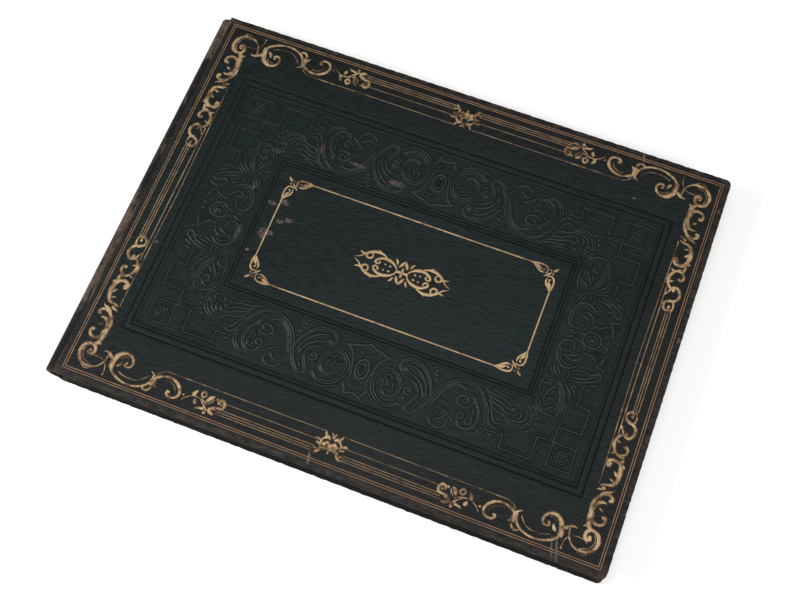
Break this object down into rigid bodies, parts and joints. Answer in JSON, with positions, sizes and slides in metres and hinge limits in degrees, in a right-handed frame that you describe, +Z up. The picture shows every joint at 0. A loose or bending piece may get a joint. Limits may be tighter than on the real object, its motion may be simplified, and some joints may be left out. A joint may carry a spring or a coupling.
{
  "type": "keepsake album",
  "caption": "Oblong leather album with blocked covers, a rounded hollow spine and card leaves hung on linen guards.",
  "frame": {"origin": "under the middle of the shut album, on the surface that the back cover lies on", "axes": "+X to the fore-edge, +Y to the head, +Z up through the front cover"},
  "size_m": [0.286, 0.215, 0.0165],
  "materials": {
    "board": "grey-brown pressed pasteboard",
    "cover_leather": "dark green-black straight-grained leather, blocked in gilt and in blind",
    "spine_leather": "worn brown-black leather",
    "pastedown": "plain cream endpaper",
    "flyleaf": "plain cream endpaper",
    "leaf_card": "cream album card with gilt edges",
    "guard_linen": "fine unbleached linen",
    "stub_card": "card stubs and folded linen, pressed",
    "tape_linen": "woven linen tape",
    "lining_paper": "brown lining paper",
    "endband_silk": "silk wound over cord",
    "gold_leaf": "gold leaf pressed into the leather, rubbed in places"
  },
  "bodies": {
    "back_cover": {"back_board": "board", "back_cover_leather": "cover_leather", "back_pastedown": "pastedown", "back_tape_slips": "tape_linen"},
    "text_block": {"guard_stubs": "stub_card", "sewing_tapes": "tape_linen", "spine_lining": "lining_paper", "hollow_tube": "lining_paper", "headband": "endband_silk", "tailband": "endband_silk", "spine_leather": "spine_leather", "front_joint_leather": "spine_leather", "back_joint_leather": "spine_leather", "front_flyleaf_guard": "guard_linen", "back_flyleaf_guard": "guard_linen", "guard_01": "guard_linen", "guard_02": "guard_linen", "guard_03": "guard_linen", "guard_04": "guard_linen", "guard_05": "guard_linen", "guard_06": "guard_linen", "guard_07": "guard_linen", "guard_08": "guard_linen", "guard_09": "guard_linen", "guard_10": "guard_linen"},
    "front_cover": {"front_board": "board", "front_cover_leather": "cover_leather", "front_pastedown": "pastedown", "front_tape_slips": "tape_linen"},
    "front_flyleaf": {"front_flyleaf": "flyleaf"},
    "back_flyleaf": {"back_flyleaf": "flyleaf"},
    "leaf_01": {"leaf_01": "leaf_card"},
    "leaf_02": {"leaf_02": "leaf_card"},
    "leaf_03": {"leaf_03": "leaf_card"},
    "leaf_04": {"leaf_04": "leaf_card"},
    "leaf_05": {"leaf_05": "leaf_card"},
    "leaf_06": {"leaf_06": "leaf_card"},
    "leaf_07": {"leaf_07": "leaf_card"},
    "leaf_08": {"leaf_08": "leaf_card"},
    "leaf_09": {"leaf_09": "leaf_card"},
    "leaf_10": {"leaf_10": "leaf_card"}
  },
  "joints": [
    {"name": "back_cover_hinge", "type": "hinge", "parent": "back_cover", "child": "text_block", "pos_m": [-0.1366, 0, 0.0012], "axis": [0, 1, 0], "range_deg": [-100, 0], "deforming": ["back_joint_leather"]},
    {"name": "front_cover_hinge", "type": "hinge", "parent": "text_block", "child": "front_cover", "pos_m": [-0.1366, 0, 0.01525], "axis": [0, -1, 0], "range_deg": [0, 180], "deforming": ["front_joint_leather"]},
    {"name": "front_flyleaf_hinge", "type": "hinge", "parent": "text_block", "child": "front_flyleaf", "pos_m": [-0.13, 0, 0.01245], "axis": [0, -1, 0], "range_deg": [0, 161.01], "deforming": ["front_flyleaf_guard"]},
    {"name": "leaf_01_hinge", "type": "hinge", "parent": "text_block", "child": "leaf_01", "pos_m": [-0.13, 0, 0.01162], "axis": [0, -1, 0], "range_deg": [0, 156.01], "deforming": ["guard_01"]},
    {"name": "leaf_02_hinge", "type": "hinge", "parent": "text_block", "child": "leaf_02", "pos_m": [-0.13, 0, 0.01079], "axis": [0, -1, 0], "range_deg": [0, 151.01], "deforming": ["guard_02"]},
    {"name": "leaf_03_hinge", "type": "hinge", "parent": "text_block", "child": "leaf_03", "pos_m": [-0.13, 0, 0.00996], "axis": [0, -1, 0], "range_deg": [0, 146.01], "deforming": ["guard_03"]},
    {"name": "leaf_04_hinge", "type": "hinge", "parent": "text_block", "child": "leaf_04", "pos_m": [-0.13, 0, 0.00913], "axis": [0, -1, 0], "range_deg": [0, 141.01], "deforming": ["guard_04"]},
    {"name": "leaf_05_hinge", "type": "hinge", "parent": "text_block", "child": "leaf_05", "pos_m": [-0.13, 0, 0.0083], "axis": [0, -1, 0], "range_deg": [0, 136.01], "deforming": ["guard_05"]},
    {"name": "leaf_06_hinge", "type": "hinge", "parent": "text_block", "child": "leaf_06", "pos_m": [-0.13, 0, 0.00747], "axis": [0, 1, 0], "range_deg": [0, 75.57], "deforming": ["guard_06"]},
    {"name": "leaf_07_hinge", "type": "hinge", "parent": "text_block", "child": "leaf_07", "pos_m": [-0.13, 0, 0.00664], "axis": [0, 1, 0], "range_deg": [0, 78.34], "deforming": ["guard_07"]},
    {"name": "leaf_08_hinge", "type": "hinge", "parent": "text_block", "child": "leaf_08", "pos_m": [-0.13, 0, 0.00581], "axis": [0, 1, 0], "range_deg": [0, 81.12], "deforming": ["guard_08"]},
    {"name": "leaf_09_hinge", "type": "hinge", "parent": "text_block", "child": "leaf_09", "pos_m": [-0.13, 0, 0.00498], "axis": [0, 1, 0], "range_deg": [0, 83.9], "deforming": ["guard_09"]},
    {"name": "leaf_10_hinge", "type": "hinge", "parent": "text_block", "child": "leaf_10", "pos_m": [-0.13, 0, 0.00415], "axis": [0, 1, 0], "range_deg": [0, 86.68], "deforming": ["guard_10"]},
    {"name": "back_flyleaf_hinge", "type": "hinge", "parent": "text_block", "child": "back_flyleaf", "pos_m": [-0.13, 0, 0.00365], "axis": [0, 1, 0], "range_deg": [0, 89.45], "deforming": ["back_flyleaf_guard"]}
  ],
  "couplings": [
    {"joint": "front_flyleaf_hinge", "follows": "front_cover_hinge", "ratio": 0.89444},
    {"joint": "leaf_01_hinge", "follows": "front_cover_hinge", "ratio": 0.86667},
    {"joint": "leaf_02_hinge", "follows": "front_cover_hinge", "ratio": 0.83889},
    {"joint": "leaf_03_hinge", "follows": "front_cover_hinge", "ratio": 0.81111},
    {"joint": "leaf_04_hinge", "follows": "front_cover_hinge", "ratio": 0.78333},
    {"joint": "leaf_05_hinge", "follows": "front_cover_hinge", "ratio": 0.75556},
    {"joint": "leaf_06_hinge", "follows": "back_cover_hinge", "ratio": -0.75556},
    {"joint": "leaf_07_hinge", "follows": "back_cover_hinge", "ratio": -0.78333},
    {"joint": "leaf_08_hinge", "follows": "back_cover_hinge", "ratio": -0.81111},
    {"joint": "leaf_09_hinge", "follows": "back_cover_hinge", "ratio": -0.83889},
    {"joint": "leaf_10_hinge", "follows": "back_cover_hinge", "ratio": -0.86667},
    {"joint": "back_flyleaf_hinge", "follows": "back_cover_hinge", "ratio": -0.89444}
  ]
}
